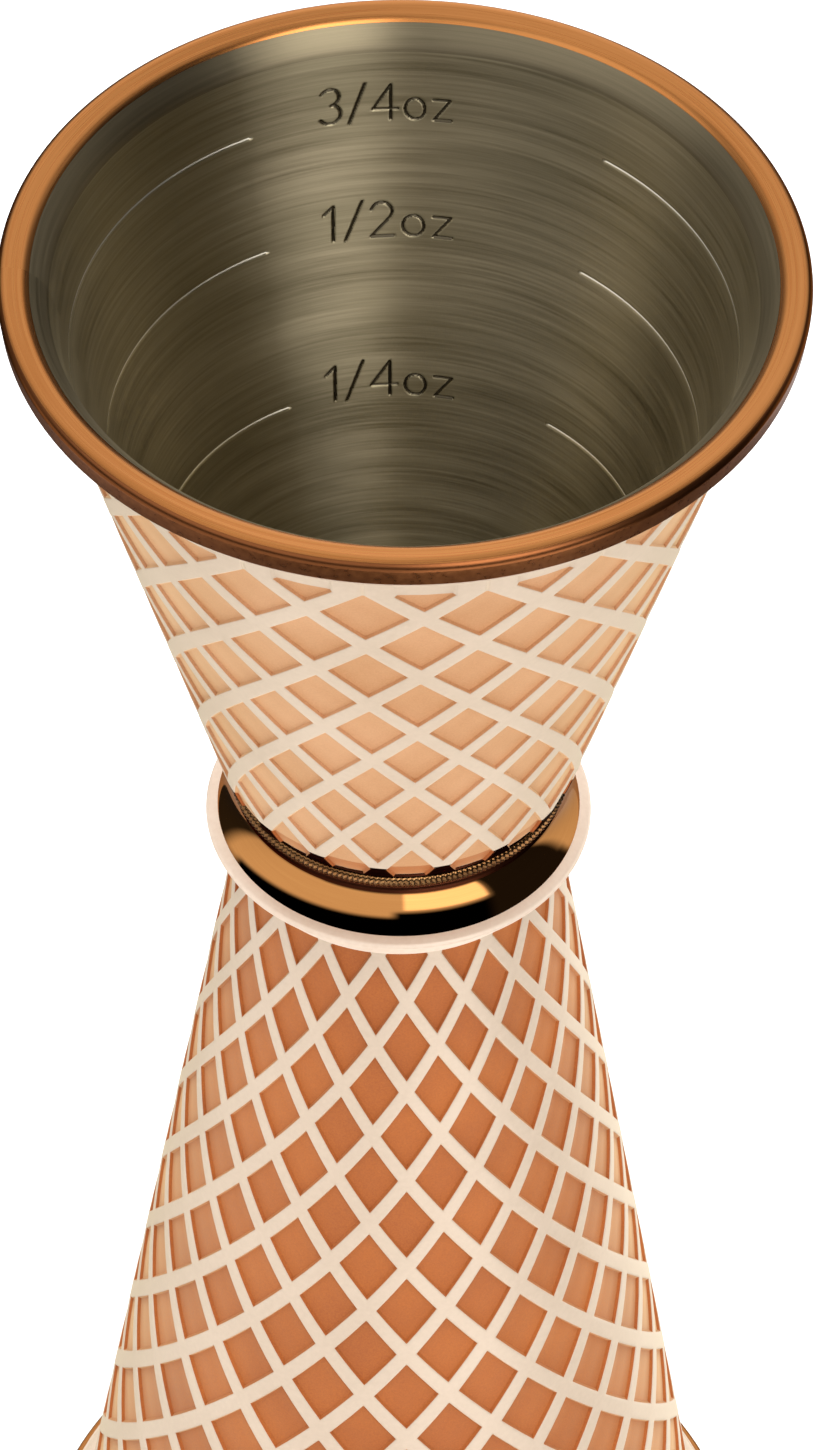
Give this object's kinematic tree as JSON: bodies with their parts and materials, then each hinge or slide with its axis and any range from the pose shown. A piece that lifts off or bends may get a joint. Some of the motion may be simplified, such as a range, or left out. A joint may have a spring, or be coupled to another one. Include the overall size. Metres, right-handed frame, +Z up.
{
  "type": "bar jigger",
  "caption": "Double-ended bar measure with conical copper lattice walls, brushed steel cups and a flared polished collar at the waist.",
  "frame": {"origin": "centre of the lower mouth, on the surface the jigger stands on", "axes": "+Z up along the axis of both cups, from the long cup's mouth to the short cup's mouth; +X and +Y are any two level directions, and the engraved fractions are on the +Y side of the upper cup"},
  "size_m": [0.046, 0.046, 0.1197],
  "materials": {
    "copper_bead": "brushed copper plate",
    "copper_lattice": "copper plate, bright raised strips around matte etched pockets",
    "steel_cup": "brushed around the axis",
    "collar_polish": "mirror polished",
    "knurl": "fine knurl, polished",
    "core_steel": "turned",
    "braze_metal": "as brazed"
  },
  "bodies": {
    "root": {"upper_rim": "copper_bead", "upper_shell": "copper_lattice", "upper_liner": "steel_cup", "knurled_ring": "knurl", "waist_collar": "collar_polish", "upper_braze": "braze_metal", "waist_core": "core_steel", "lower_braze": "braze_metal", "neck_ring": "copper_bead", "lower_shell": "copper_lattice", "lower_liner": "steel_cup", "lower_rim": "copper_bead"}
  },
  "joints": []
}
